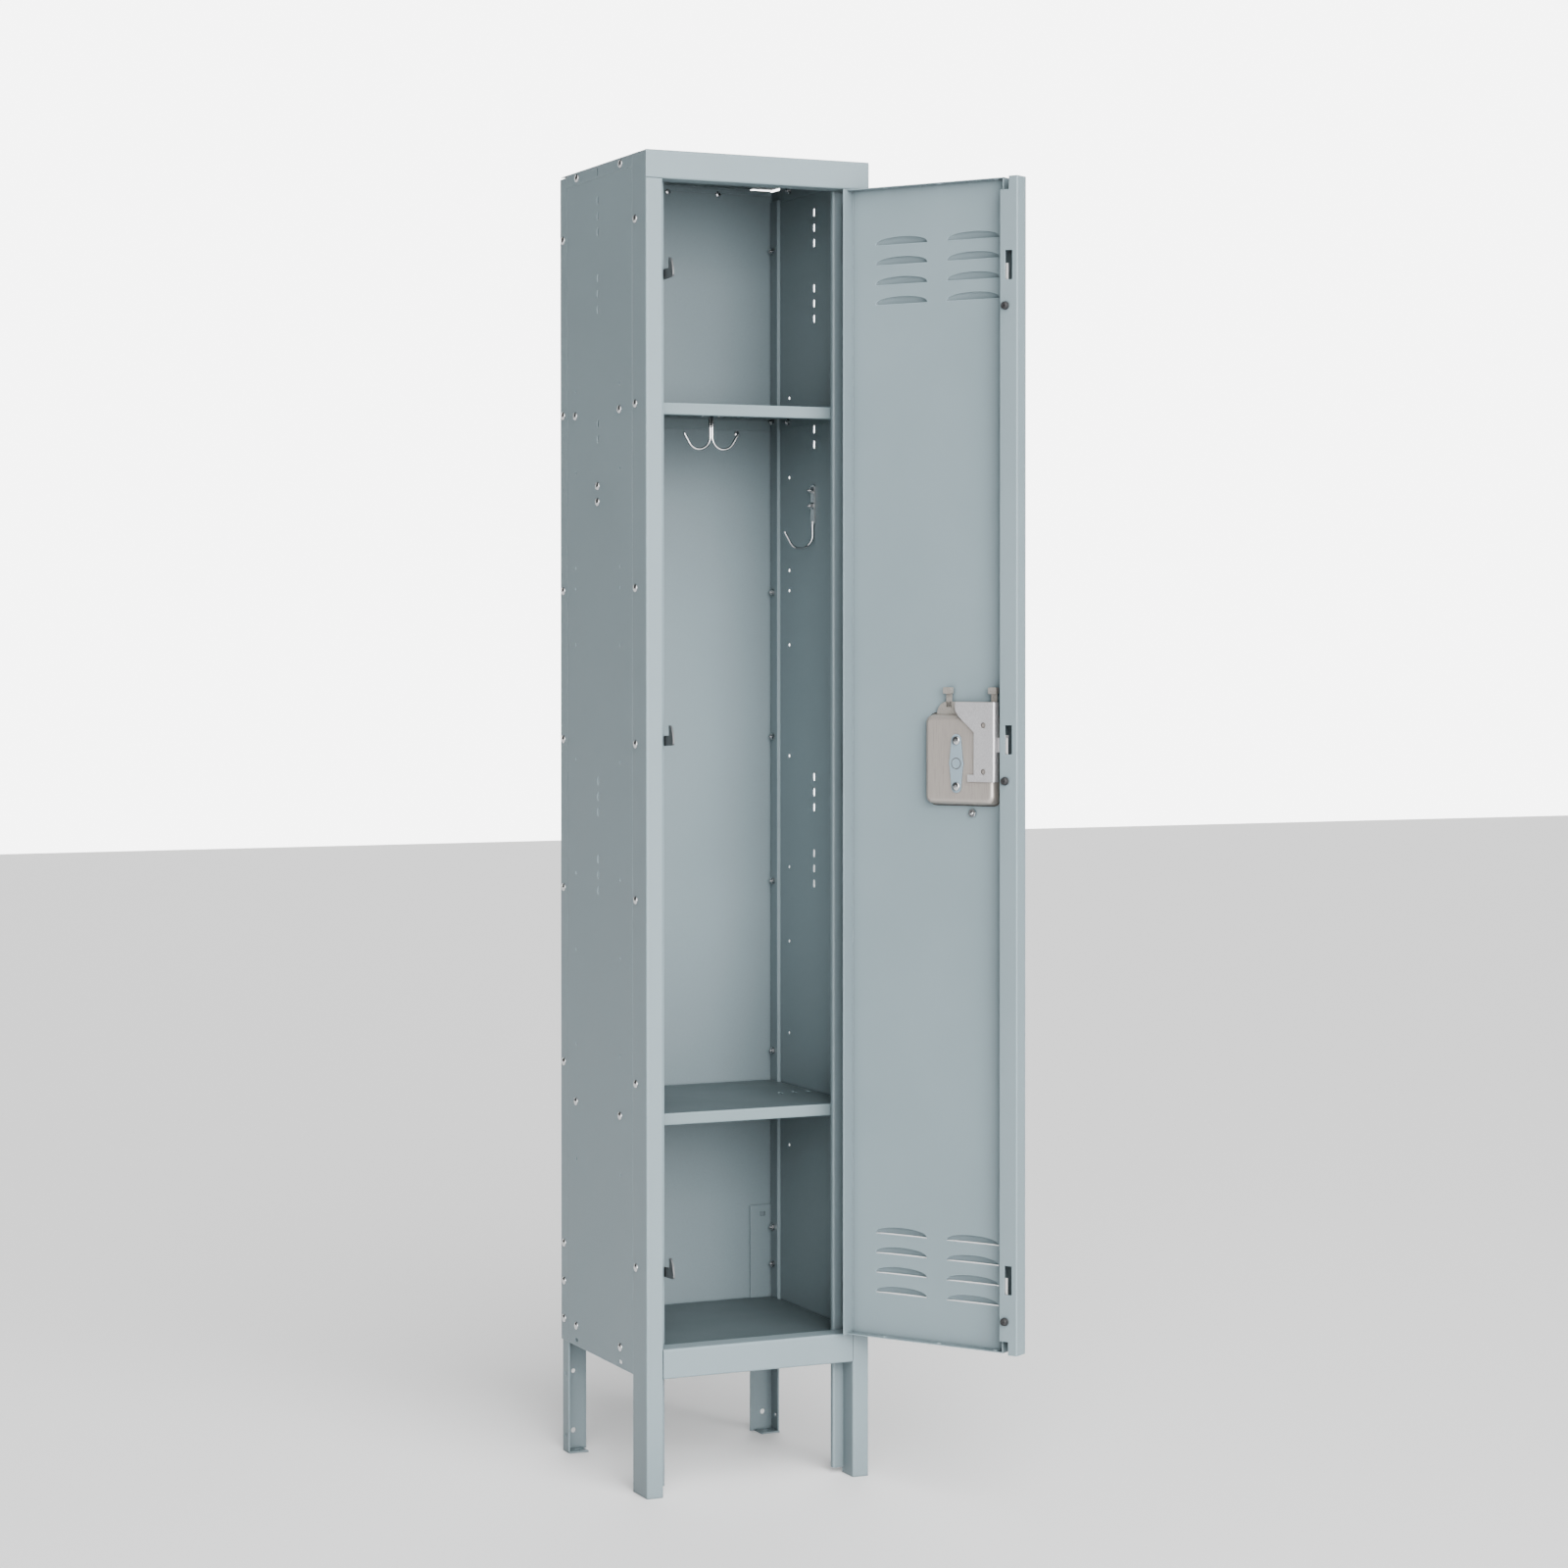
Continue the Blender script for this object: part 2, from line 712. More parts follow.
class Workshop:
    """Turns shapes into pieces that ride on the frame's bodies."""

    def __init__(self, frame: dict[str, Any]) -> None:
        """Reads how far the door stands open.
        """
        self.frame = frame
        self.paints = Paintbox()
        self.size = self.cabinet_corner()
        hinge = next(joint for joint in frame["joints"] if joint["type"] == "hinge")
        self.pin = Vector(hinge["pos_m"]) / MM
        opened = math.radians(-hinge["range_deg"][0])
        move = Matrix.Translation((self.pin.x, self.pin.y, 0))
        self.open_door = move @ Matrix.Rotation(opened, 4, "Z") @ move.inverted()
        self.count = 0

    def cabinet_corner(self) -> Vector:
        """The cabinet's width, depth and height, from its back and top panels."""
        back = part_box("back_panel")[1] / MM
        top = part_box("top_panel")[1] / MM
        return Vector((back.x, back.y, top.z))

    def corners(self, node: str) -> tuple[Vector, Vector]:
        """A node's lowest and highest corners, with the door's nodes as on the shut door.

        Args:
            node: The node's name.

        Returns:
            The two corners in millimetres.
        """
        obj = self.frame["nodes"][node]
        turn = self.open_door.inverted() if Body(obj["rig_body"]).swings else Matrix.Identity(4)
        points = [turn @ (vertex.co / MM) for vertex in obj.data.vertices]
        low = Vector([min(point[k] for point in points) for k in range(3)])
        high = Vector([max(point[k] for point in points) for k in range(3)])
        return low, high

    def dress(self, node: str, finish: Any) -> None:
        """Gives a CAD node its material."""
        mesh = self.frame["nodes"][node].data
        mesh.materials.clear()
        mesh.materials.append(self.paints.mix(finish))
        LOG.info("dressed %s in %s", node, finish.name)

    def piece(
        self,
        name: str,
        shape: Shape,
        finish: Any,
        body: Body,
        slot: Slot,
        stands_for: Sequence[str] = (),
        soften: float = 0.0,
        cutters: Sequence[Shape] = (),
        unions: Sequence[Shape] = (),
        crease: float = 38.0,
    ) -> bpy.types.Object:
        """Makes a piece.

        Args:
            name: The piece's name.
            shape: Its shape in millimetres, as on the shut door if its body swings.
            finish: Its finish.
            body: The body that it rides on.
            slot: The record's slot for it.
            stands_for: The CAD nodes that it replaces.
            soften: The width of the bevel on its sharp edges, in millimetres.
            cutters: Shapes that are cut out of it.
            unions: Shapes that are fused to it.
            crease: The angle above which an edge stays sharp, in degrees.

        Returns:
            The piece.
        """
        matrix = self.open_door if body.swings else Matrix.Identity(4)
        made = shape.to_object(name, matrix)
        for operation, shapes in (("UNION", unions), ("DIFFERENCE", cutters)):
            for tool_shape in shapes:
                tool = tool_shape.to_object(f"{name}_tool", matrix)
                self.carve(made, tool, operation)
        made.data.shade_smooth()
        if soften:
            bevel = made.modifiers.new("soft_edges", "BEVEL")
            bevel.width = soften * MM
            bevel.segments = 2
            bevel.limit_method = "ANGLE"
            bevel.angle_limit = math.radians(35)
        made.data.set_sharp_from_angle(angle=math.radians(crease))
        weighted = made.modifiers.new("flat_faces", "WEIGHTED_NORMAL")
        weighted.keep_sharp = True
        self.bake(made)
        made.data.materials.clear()
        made.data.materials.append(self.paints.mix(finish))
        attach(made, body.value)
        if stands_for:
            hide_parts(*stands_for)
        self.count += 1
        LOG.info("piece %d: %s, %d faces, on %s", self.count, name, len(made.data.polygons), body.value)
        return made

    def carve(self, obj: bpy.types.Object, tool: bpy.types.Object, operation: str) -> None:
        """Applies one Boolean and removes its tool.

        Args:
            obj: The object that it changes.
            tool: The other object.
            operation: "UNION" or "DIFFERENCE".
        """
        modifier = obj.modifiers.new("carve", "BOOLEAN")
        modifier.operation = operation
        modifier.solver = "EXACT"
        modifier.object = tool
        self.bake(obj)
        scrap = tool.data
        bpy.data.objects.remove(tool)
        bpy.data.meshes.remove(scrap)

    def bake(self, obj: bpy.types.Object) -> None:
        """Applies all of an object's modifiers to its mesh.

        Args:
            obj: The object.
        """
        graph = bpy.context.evaluated_depsgraph_get()
        graph.update()
        fresh = bpy.data.meshes.new_from_object(obj.evaluated_get(graph))
        old = obj.data
        obj.modifiers.clear()
        obj.data = fresh
        fresh.name = obj.name
        bpy.data.meshes.remove(old)


# ------------------------------------------------------------- sub-assemblies


@dataclass
class Studio:
    """A pale floor, a soft white surround and a camera, in millimetres."""

    place: Point3 = (-1643.8, -4116.6, 1064.9)
    tilt: float = -0.805
    turn: float = -24.975
    lens: float = 82.0
    shift: Point2 = (-0.0399, -0.0579)
    floor_half: float = 14000.0
    floor_colour: Colour = (0.9, 0.9, 0.9)
    ambient: float = 0.14
    bright: float = 6.5
    bright_side: Point3 = (-0.1, -1.0, 0.0)
    bright_from: Span = (0.72, 0.985)
    wall: float = 6.5
    wall_side: Point3 = (0.42, 0.91, 0.0)
    wall_from: Span = (0.80, 0.93)
    key_power: float = 260.0
    key_size: float = 2600.0
    key_place: Point3 = (-400.0, -4550.0, 1750.0)
    key_target: Point3 = (150.0, 0.0, 850.0)

    def build(self) -> None:
        """Makes the camera first, then the floor and the lights."""
        self.build_camera()
        self.build_floor()
        self.build_surround()
        self.build_key()

    def build_camera(self) -> None:
        """Stands the camera at the cabinet's front left."""
        data = bpy.data.cameras.new("camera")
        data.lens = self.lens
        data.shift_x, data.shift_y = self.shift
        data.clip_end = 100.0
        camera = bpy.data.objects.new("camera", data)
        camera.location = Vector(self.place) * MM
        camera.rotation_euler = (math.radians(90 + self.tilt), 0, math.radians(self.turn))
        bpy.context.scene.collection.objects.link(camera)
        bpy.context.scene.camera = camera

    def build_floor(self) -> None:
        """Lays a pale floor just under the feet."""
        half = self.floor_half
        shape = Shape.box((-half, half), (-half, half), (-4.0, -0.2))
        floor = shape.to_object("studio_floor", Matrix.Identity(4))
        recipe = Recipe("studio_floor_paint")
        tint = recipe.noise(0.6, 2.0)
        dimmer = tuple(channel * 0.985 for channel in self.floor_colour)
        recipe.link(recipe.blend(tint, dimmer, self.floor_colour), recipe.shader.inputs["Base Color"])
        recipe.fixed(Roughness=0.75, Specular_IOR_Level=0.25)
        floor.data.materials.append(recipe.material)

    def build_surround(self) -> None:
        """Fills the room with soft white light: a tall bright side and a white wall behind the cabinet."""
        world = bpy.data.worlds.new("studio_surround")
        world.use_nodes = True
        tree = world.node_tree
        place = tree.nodes.new("ShaderNodeTexCoord").outputs["Generated"]
        level = self.level_direction(tree, place)
        bright = self.toward(tree, level, self.bright_side, self.bright_from, (self.ambient, self.bright))
        wall = self.toward(tree, place, self.wall_side, self.wall_from, (0.0, self.wall))
        total = tree.nodes.new("ShaderNodeMath")
        total.operation = "ADD"
        tree.links.new(bright, total.inputs[0])
        tree.links.new(wall, total.inputs[1])
        background = tree.nodes["Background"]
        background.inputs["Color"].default_value = (1.0, 1.0, 1.0, 1.0)
        tree.links.new(total.outputs[0], background.inputs["Strength"])
        bpy.context.scene.world = world

    def level_direction(self, tree: bpy.types.NodeTree, place: bpy.types.NodeSocket) -> bpy.types.NodeSocket:
        """A direction with its height taken out.

        Args:
            tree: The surround's nodes.
            place: The direction.

        Returns:
            The level direction, of length 1.
        """
        flatten = tree.nodes.new("ShaderNodeVectorMath")
        flatten.operation = "MULTIPLY"
        flatten.inputs[1].default_value = (1.0, 1.0, 0.0)
        unit = tree.nodes.new("ShaderNodeVectorMath")
        unit.operation = "NORMALIZE"
        tree.links.new(place, flatten.inputs[0])
        tree.links.new(flatten.outputs[0], unit.inputs[0])
        return unit.outputs[0]

    def toward(
        self, tree: bpy.types.NodeTree, place: bpy.types.NodeSocket, side: Point3, source: Span, target: Span
    ) -> bpy.types.NodeSocket:
        """A strength that grows towards one side of the room.

        Args:
            tree: The surround's nodes.
            place: The direction.
            side: The side that it grows towards.
            source: The cosines of the angle to it at which it starts and ends growing.
            target: Its strengths there.

        Returns:
            The strength.
        """
        dot = tree.nodes.new("ShaderNodeVectorMath")
        dot.operation = "DOT_PRODUCT"
        dot.inputs[1].default_value = Vector(side).normalized()
        ramp = tree.nodes.new("ShaderNodeMapRange")
        ramp.interpolation_type = "SMOOTHSTEP"
        for index, number in enumerate((*source, *target), 1):
            ramp.inputs[index].default_value = number
        tree.links.new(place, dot.inputs[0])
        tree.links.new(dot.outputs["Value"], ramp.inputs[0])
        return ramp.outputs[0]

    def build_key(self) -> None:
        """Hangs one large soft light in front of the cabinet."""
        data = bpy.data.lights.new("key_light", "AREA")
        data.shape = "SQUARE"
        data.size = self.key_size * MM
        data.energy = self.key_power
        light = bpy.data.objects.new("key_light", data)
        light.location = Vector(self.key_place) * MM
        aim = Vector(self.key_target) - Vector(self.key_place)
        light.rotation_euler = aim.to_track_quat("-Z", "Y").to_euler()
        bpy.context.scene.collection.objects.link(light)


@dataclass
class SheetMetal:
    """The cabinet's folded panels, which keep their shapes and take their enamel here."""

    shop: Workshop
    panels: tuple[str, ...] = (
        "left_front_post",
        "right_front_post",
        "header_rail",
        "bottom_rail",
        "left_side_panel",
        "right_side_panel",
        "back_panel",
        "top_panel",
        "rear_left_leg",
        "rear_right_leg",
    )
    shelves: tuple[str, ...] = ("upper_shelf", "lower_shelf", "bottom_panel")
    return_sheet: float = 0.8
    return_below: float = 1.0
    return_drop: float = 9.0
    return_depth: float = 7.0
    return_corner: float = 33.0
    return_gap: float = 1.4

    def build(self) -> None:
        """Dresses every panel and shelf."""
        for node in self.panels:
            self.shop.dress(node, CABINET_ENAMEL)
        for node in self.shelves:
            self.shop.dress(node, SHELF_ENAMEL)
        self.build_return()

    def build_return(self) -> None:
        """The back panel's top return, which closes the joint under the top and leaves its corners open."""
        width, depth, height = self.shop.size
        sheet = self.return_sheet
        back = depth - sheet - 0.02
        top = height - self.return_below
        foot = height - self.return_drop
        path = ((back, foot), (back, top), (back - self.return_depth, top))
        corner = self.return_corner
        angle = Shape.prism(folded_outline(path, sheet, 0.6), "yz", corner, width - corner)
        strips = [
            Shape.box(span, (back - sheet, back), (foot, top - self.return_gap))
            for span in ((2.5, corner + 0.5), (width - corner - 0.5, width - 2.5))
        ]
        self.shop.piece("back_panel_return", angle, CABINET_ENAMEL, Body.CABINET, Slot.CABINET, unions=strips)


@dataclass
class Fasteners:
    """The bolts that hold the panels: domed heads outside, nuts and thread ends inside."""

    shop: Workshop
    head_radius: float = 5.3
    head_dome: float = 2.7
    head_skirt: float = 0.5
    nut_across: float = 8.0
    nut_thick: float = 3.2
    thread_radius: float = 2.2
    thread_reach: float = 6.4
    thread_pitch: float = 0.8
    front_y: float = 36.0
    rear_inset: float = 12.8
    middle_z: float = 938.5
    column_steps: tuple[float, ...] = (-655.0, -425.0, -195.0, 0.0, 195.0, 425.0, 655.0)
    low_rear: tuple[float, ...] = (275.5, 225.8, 176.1)
    shelf_y: tuple[float, ...] = (90.0, 247.0)
    top_y: tuple[float, ...] = (86.0, 241.0)
    below_top: float = 8.4
    below_shelf: float = 7.0
    hook_y: float = 167.0
    hook_drops: tuple[float, ...] = (6.9, 27.2)
    hook_grip: float = 3.4
    front_grip: float = 3.3
    rear_grip: float = 4.5
    shelf_grip: float = 2.0
    top_grip: float = 2.2
    rear_top: float = 1592.0
    panel_sheet: float = 0.8

    def head(self) -> Shape:
        """A domed bolt head that stands on its washer face."""
        profile = [(0.0, -0.3), (self.head_radius - 0.3, -0.3), (self.head_radius, 0.0)]
        profile.append((self.head_radius, self.head_skirt))
        steps = 7
        for step in range(1, steps):
            angle = math.pi / 2 * step / steps
            rise = self.head_skirt + (self.head_dome - self.head_skirt) * math.sin(angle)
            profile.append((self.head_radius * math.cos(angle), rise))
        profile.append((0.0, self.head_dome))
        return Shape.turned(profile, 28)

    def nut(self, twist: float = 0.0, pointed: bool = False) -> Shape:
        """A hexagon nut with its corners turned off and the bolt's thread through it.

        Args:
            twist: How far the nut is turned, in degrees.
            pointed: Whether the thread ends in a point.

        Returns:
            The nut and the thread end, pointing up.
        """
        corner = self.nut_across / math.sqrt(3)
        blank = [(0.0, 0.0), (corner - 0.35, 0.0), (corner, 0.4), (corner, self.nut_thick - 0.5)]
        blank += [(corner - 0.6, self.nut_thick), (0.0, self.nut_thick)]
        nut = Shape.turned(blank, 6, twist)
        thread = [(0.0, 0.2)]
        height = 0.2
        while height < self.thread_reach - self.thread_pitch:
            thread.append((self.thread_radius - 0.25, height))
            thread.append((self.thread_radius, height + self.thread_pitch / 2))
            height += self.thread_pitch
        if pointed:
            thread += [(self.thread_radius * 0.5, height + 1.2), (0.0, height + 2.4)]
        else:
            thread += [(self.thread_radius - 0.5, height), (0.0, height + 0.1)]
        return nut.joined(Shape.turned(thread, 18))

    def build(self) -> None:
        """Sets every bolt on both sides, then the back wall's and the hooks'."""
        cabinet = Vector(self.shop.size)
        rear_y = cabinet.y - self.rear_inset
        shelves = [self.shop.corners(name)[1].z for name in ("upper_shelf", "lower_shelf", "bottom_panel")]
        front = [self.middle_z + step for step in self.column_steps]
        stretch = (self.rear_top - front[-1]) / self.column_steps[-1]
        rear = [z + stretch * (z - self.middle_z) for z in front[1:]]
        places = [("front", self.front_y, z, self.front_grip) for z in front]
        places += [("rear", rear_y, z, self.rear_grip) for z in [*self.low_rear, *rear]]
        places += [("shelf", y, z - self.below_shelf, self.shelf_grip) for y in self.shelf_y for z in shelves]
        places += [("top", y, cabinet.z - self.below_top, self.top_grip) for y in self.top_y]
        for side, out, into, wall in (
            ("left", Axis.LEFT, Axis.RIGHT, 0.0),
            ("right", Axis.RIGHT, Axis.LEFT, cabinet.x),
        ):
            inwards = 1 if side == "left" else -1
            for number, (row, y, z, deep) in enumerate(places, 1):
                name = f"{side}_{row}_bolt_{number:02d}"
                self.shop.piece(name, self.head().at((wall, y, z), out), CHROME, Body.CABINET, Slot.CHROME)
                nut = self.nut(twist=17.0 * number).at((wall + inwards * deep, y, z), into)
                self.shop.piece(f"{name}_nut", nut, ZINC, Body.CABINET, Slot.ZINC)
            hook_top = self.shop.corners(f"{side}_wall_hook")[1].z
            inner = wall + inwards * self.hook_grip
            for number, drop in enumerate(self.hook_drops, 1):
                z = hook_top - drop
                name = f"{side}_hook_bolt_{number}"
                head = self.head().at((wall, self.hook_y, z), out)
                self.shop.piece(name, head, CHROME, Body.CABINET, Slot.CHROME)
                nut = self.nut(30.0 * number, pointed=True).at((inner, self.hook_y, z), into)
                self.shop.piece(f"{name}_nut", nut, ZINC, Body.CABINET, Slot.ZINC)
        self.build_back_wall(cabinet)

    def build_back_wall(self, cabinet: Vector) -> None:
        """Sets the few heads that show on the back wall.

        Args:
            cabinet: The cabinet's width, depth and height.
        """
        wall = cabinet.y - self.panel_sheet
        shelf = self.shop.corners("upper_shelf")[1].z
        spots = [(0.5, cabinet.z - 10.2), (0.738, cabinet.z - 10.0)]
        spots += [(0.5, shelf - 8.6), (0.827, shelf - 20.6)]
        for number, (share, z) in enumerate(spots, 1):
            head = self.head().moved(Matrix.Scale(0.72, 4)).at((cabinet.x * share, wall, z), Axis.FRONT)
            self.shop.piece(f"back_wall_bolt_{number}", head, ZINC, Body.CABINET, Slot.ZINC)


@dataclass
class Hinges:
    """Three hinges of five turned knuckles each, between welded leaves."""

    shop: Workshop
    knuckles: tuple[float, ...] = (13.5, 18.0, 12.5, 18.0, 13.0)
    radius: float = 3.0
    bore: float = 1.6
    leaf: float = 1.2
    gap: float = 0.3
    clearance: float = 0.35
    corner: float = 2.0
    chamfer: float = 0.35
    door_trim: float = 2.0
    pin_radius: float = 1.5
    pin_reach: float = 0.8
    frame_depth: float = 27.0
    door_depth: float = 19.0
    weld_y: float = 16.0
    weld_rise: float = 28.5
    weld_apart: float = 3.2
    weld_radius: float = 1.15

    def build(self) -> None:
        """Builds each hinge's two leaves and its pin."""
        for word in TIERS:
            low, high = self.shop.corners(f"{word}_hinge_frame_leaf")
            self.build_leaf(word, "frame", low.z, high.z)
            self.build_leaf(word, "door", low.z, high.z)
            self.build_pin(word, low.z, high.z)
            self.build_welds(word, (low.z + high.z) / 2)

    def spans(self, top: float) -> list[Span]:
        """The knuckles' (low, high) pairs from the top down."""
        made = []
        for size in self.knuckles:
            made.append((top - size, top))
            top -= size
        return made

    def build_leaf(self, word: str, which: str, bottom: float, top: float) -> None:
        """A leaf with the knuckles that are rolled from it.

        Args:
            word: The hinge's name.
            which: "frame" or "door".
            bottom: The hinge's lowest z.
            top: Its highest z.
        """
        pin = self.shop.pin
        on_frame = which == "frame"
        near = self.clearance
        start = pin.x + near if on_frame else pin.x - near - self.leaf
        x = (start, start + self.leaf)
        depth = self.frame_depth if on_frame else self.door_depth
        trim = 0.0 if on_frame else self.door_trim
        corner = self.corner
        low = bottom + trim
        high = top - trim
        outline = [(0.6, low), (depth - corner, low)]
        outline += arc((depth - corner, low + corner), corner, -90, 0, 5)[1:]
        outline += arc((depth - corner, high - corner), corner, 0, 90, 5)
        outline.append((0.6, high))
        plate = Shape.prism(outline, "yz", *x)
        joins = []
        for number, (under, over) in enumerate(self.spans(top)):
            if (number % 2 == 0) != on_frame:
                continue
            low = under + self.gap / 2
            high = over - self.gap / 2
            chamfer = self.chamfer
            profile = ((0, low), (self.radius - chamfer, low), (self.radius, low + chamfer))
            profile += ((self.radius, high - chamfer), (self.radius - chamfer, high), (0, high))
            joins.append(Shape.turned(profile, 32).at((pin.x, pin.y, 0)))
            joins.append(Shape.box(x, (pin.y + 0.2, 1.2), (low, high)))
        bore = ((0, bottom - 4), (self.bore, bottom - 4), (self.bore, top + 4), (0, top + 4))
        name = f"{word}_hinge_{which}_leaf"
        self.shop.piece(
            f"{name}_rolled",
            plate,
            HINGE_ENAMEL,
            Body.CABINET if on_frame else Body.DOOR,
            Slot.HINGE,
            stands_for=(name,),
            unions=joins,
            cutters=[Shape.turned(bore, 24).at((pin.x, pin.y, 0))],
        )

    def build_pin(self, word: str, bottom: float, top: float) -> None:
        """A hinge pin with upset ends.

        Args:
            word: The hinge's name.
            bottom: The hinge's lowest z.
            top: Its highest z.
        """
        low = bottom - self.pin_reach
        high = top + self.pin_reach
        radius = self.pin_radius
        profile = [(0, low), (radius - 0.5, low), (radius, low + 0.5), (radius, high - 0.5)]
        profile += [(radius - 0.5, high), (0, high)]
        shape = Shape.turned(profile, 24).at((self.shop.pin.x, self.shop.pin.y, 0))
        node = f"{word}_hinge_pin"
        self.shop.piece(f"{node}_upset", shape, ZINC, Body.CABINET, Slot.ZINC, stands_for=(node,))

    def build_welds(self, word: str, centre: float) -> None:
        """Pairs of small spot welds on the frame's leaf.

        Args:
            word: The hinge's name.
            centre: The z of its middle.
        """
        face = self.shop.pin.x + self.clearance
        dots = []
        for rise in (self.weld_rise, 0.0, -self.weld_rise):
            for way in (-1, 1):
                profile = ((0, -0.2), (self.weld_radius, -0.2), (self.weld_radius * 0.8, 0.12), (0, 0.2))
                place = (face, self.weld_y, centre + rise + way * self.weld_apart / 2)
                dots.append(Shape.turned(profile, 14).at(place, Axis.LEFT))
        welds = dots[0].joined(*dots[1:])
        self.shop.piece(f"{word}_hinge_welds", welds, STRIKE_STEEL, Body.CABINET, Slot.DARK)


@dataclass
class Door:
    """The door: one folded skin with a boxed channel, louvres and the openings for the latch."""

    shop: Workshop
    sheet: float = 1.2
    bend: float = 0.3
    channel: float = 25.4
    flange: float = 14.0
    step: Point2 = (12.4, 16.5)
    louvre_x: tuple[float, ...] = (205.0, 100.4)
    louvre_tops: tuple[float, ...] = (1566.8, 317.4)
    louvre_rows: int = 4
    louvre_pitch: float = 25.0
    louvre_width: float = 78.0
    louvre_rise: float = 10.6
    louvre_depth: float = 7.0
    louvre_slit: float = 0.3
    slot_x: Span = (32.5, 42.5)
    slot_height: float = 36.0
    slot_drop: float = 7.8
    drain_y: float = 8.0
    drain_radius: float = 3.2
    drains: tuple[float, ...] = (54.0, 134.0, 215.0)
    cup_lap: float = 4.0
    cup_corner: float = 11.0
    window_y: Span = (9.0, 15.5)
    window_z: Span = (912.0, 968.0)

    def louvre(self, x: float, z: float, shrink: float, floor: float, back: float) -> Shape:
        """A louvre's hood, or its hollow when it is shrunk by the sheet.

        Args:
            x: The hood's middle.
            z: Its straight lower edge.
            shrink: How much smaller than the outer face it is.
            floor: How far below the lower edge it starts.
            back: How far it runs back into the door.

        Returns:
            The shape.
        """
        columns = 26
        rows = 7
        half = self.louvre_width / 2 - shrink
        rise = self.louvre_rise - shrink - floor
        depth = self.louvre_depth - shrink
        rings = []
        for i in range(columns + 1):
            across = math.pi * i / columns
            arch = max(math.sin(across), 0.015) ** 0.8
            ring = []
            for k in range(rows + 1):
                lift = math.pi / 2 * k / rows
                y = -depth * arch * math.cos(lift) ** 0.9 if k < rows else 0.0
                height = z + floor + rise * arch * math.sin(lift)
                ring.append(Vector((x - half * math.cos(across), y, height)))
            last = ring[-1]
            ring += [Vector((last.x, back, last.z)), Vector((last.x, back, z + floor))]
            rings.append(ring)
        return Shape.loft(rings)

    def build(self) -> None:
        """Builds the skin and cuts it."""
        low, high = self.shop.corners("door_panel")
        hoods, hollows = self.vents()
        self.shop.piece(
            "door_skin",
            self.skin(low, high),
            DOOR_ENAMEL,
            Body.DOOR,
            Slot.DOOR,
            stands_for=("door_panel",),
            unions=[hoods, *self.end_flanges(low, high)],
            cutters=[hollows, self.drain_bores(low, high), self.openings(low, high)],
        )

    def skin(self, low: Vector, high: Vector) -> Shape:
        """The folded sheet, with its hinge flange and the channel along its latch side.

        Args:
            low: The shut door's lowest corner.
            high: Its highest corner.

        Returns:
            The folded sheet.
        """
        left, right, thick = low.x, high.x, high.y
        path = (
            (right, thick),
            (right, 0),
            (left, 0),
            (left, thick),
            (left + self.channel, thick),
            (left + self.channel, self.sheet + 0.8),
        )
        return Shape.prism(folded_outline(path[::-1], self.sheet, self.bend, 3), "xy", low.z, high.z)

    def end_flanges(self, low: Vector, high: Vector) -> list[Shape]:
        """The flanges along the door's two ends.

        Args:
            low: The shut door's lowest corner.
            high: Its highest corner.

        Returns:
            The lower and the upper flange.
        """
        ends = (low.x + self.channel + 0.6, high.x - 0.4)
        fold = self.end_fold()
        lower = Shape.prism([(y, low.z + z) for y, z in fold], "yz", *ends)
        upper = Shape.prism([(y, high.z - z) for y, z in fold], "yz", *ends)
        return [lower, upper]

    def vents(self) -> tuple[Shape, Shape]:
        """All the louvres' hoods and the hollows inside them."""
        hoods = []
        hollows = []
        for group in self.louvre_tops:
            for row in range(self.louvre_rows):
                for x in self.louvre_x:
                    z = group - self.louvre_pitch * row
                    hoods.append(self.louvre(x, z, 0.0, 0.0, 0.6))
                    hollows.append(self.louvre(x, z, self.sheet, -self.louvre_slit, self.sheet + 3.0))
        return hoods[0].joined(*hoods[1:]), hollows[0].joined(*hollows[1:])

    def drain_bores(self, low: Vector, high: Vector) -> Shape:
        """The round holes in both end flanges.

        Args:
            low: The shut door's lowest corner.
            high: Its highest corner.

        Returns:
            The tools that cut them.
        """
        profile = ((0, -4), (self.drain_radius, -4), (self.drain_radius, 4), (0, 4))
        bores = []
        for out in self.drains:
            for z in (low.z, high.z):
                bores.append(Shape.turned(profile, 20).at((high.x - out, self.drain_y, z)))
        return bores[0].joined(*bores[1:])

    def openings(self, low: Vector, high: Vector) -> Shape:
        """The strikes' slots, the channel's stepped ends, the cup's hole and the latch's window.

        Args:
            low: The shut door's lowest corner.
            high: Its highest corner.

        Returns:
            The tools that cut them.
        """
        thick = high.y
        tools = []
        for word in TIERS:
            base = self.shop.corners(f"{word}_strike_hook")[0].z - self.slot_drop
            tools.append(Shape.box(self.slot_x, (thick - 4, thick + 4), (base, base + self.slot_height)))
        step_x = (low.x + self.step[0], low.x + self.channel + 4)
        for z in ((low.z - 5, low.z + self.step[1]), (high.z - self.step[1], high.z + 5)):
            tools.append(Shape.box(step_x, (self.flange + 0.5, thick + 4), z))
        cup_low, cup_high = self.shop.corners("handle_cup")
        inset = self.cup_lap
        x = (cup_low.x + inset, cup_high.x - inset)
        z = (cup_low.z + inset, cup_high.z - inset)
        tools.append(Shape.prism(rounded_outline(x, z, self.cup_corner), "xz", -3.0, 4.0))
        edge = low.x + self.channel
        tools.append(Shape.box((edge - 4, edge + 3), self.window_y, self.window_z))
        return tools[0].joined(*tools[1:])

    def end_fold(self) -> list[Point2]:
        """The cross-section of an end flange, from its outer face at 0."""
        t = self.sheet
        return [(0.4, 0.0), (self.flange - 0.4, 0.0), (self.flange, 0.3), (self.flange, t), (0.4, t)]


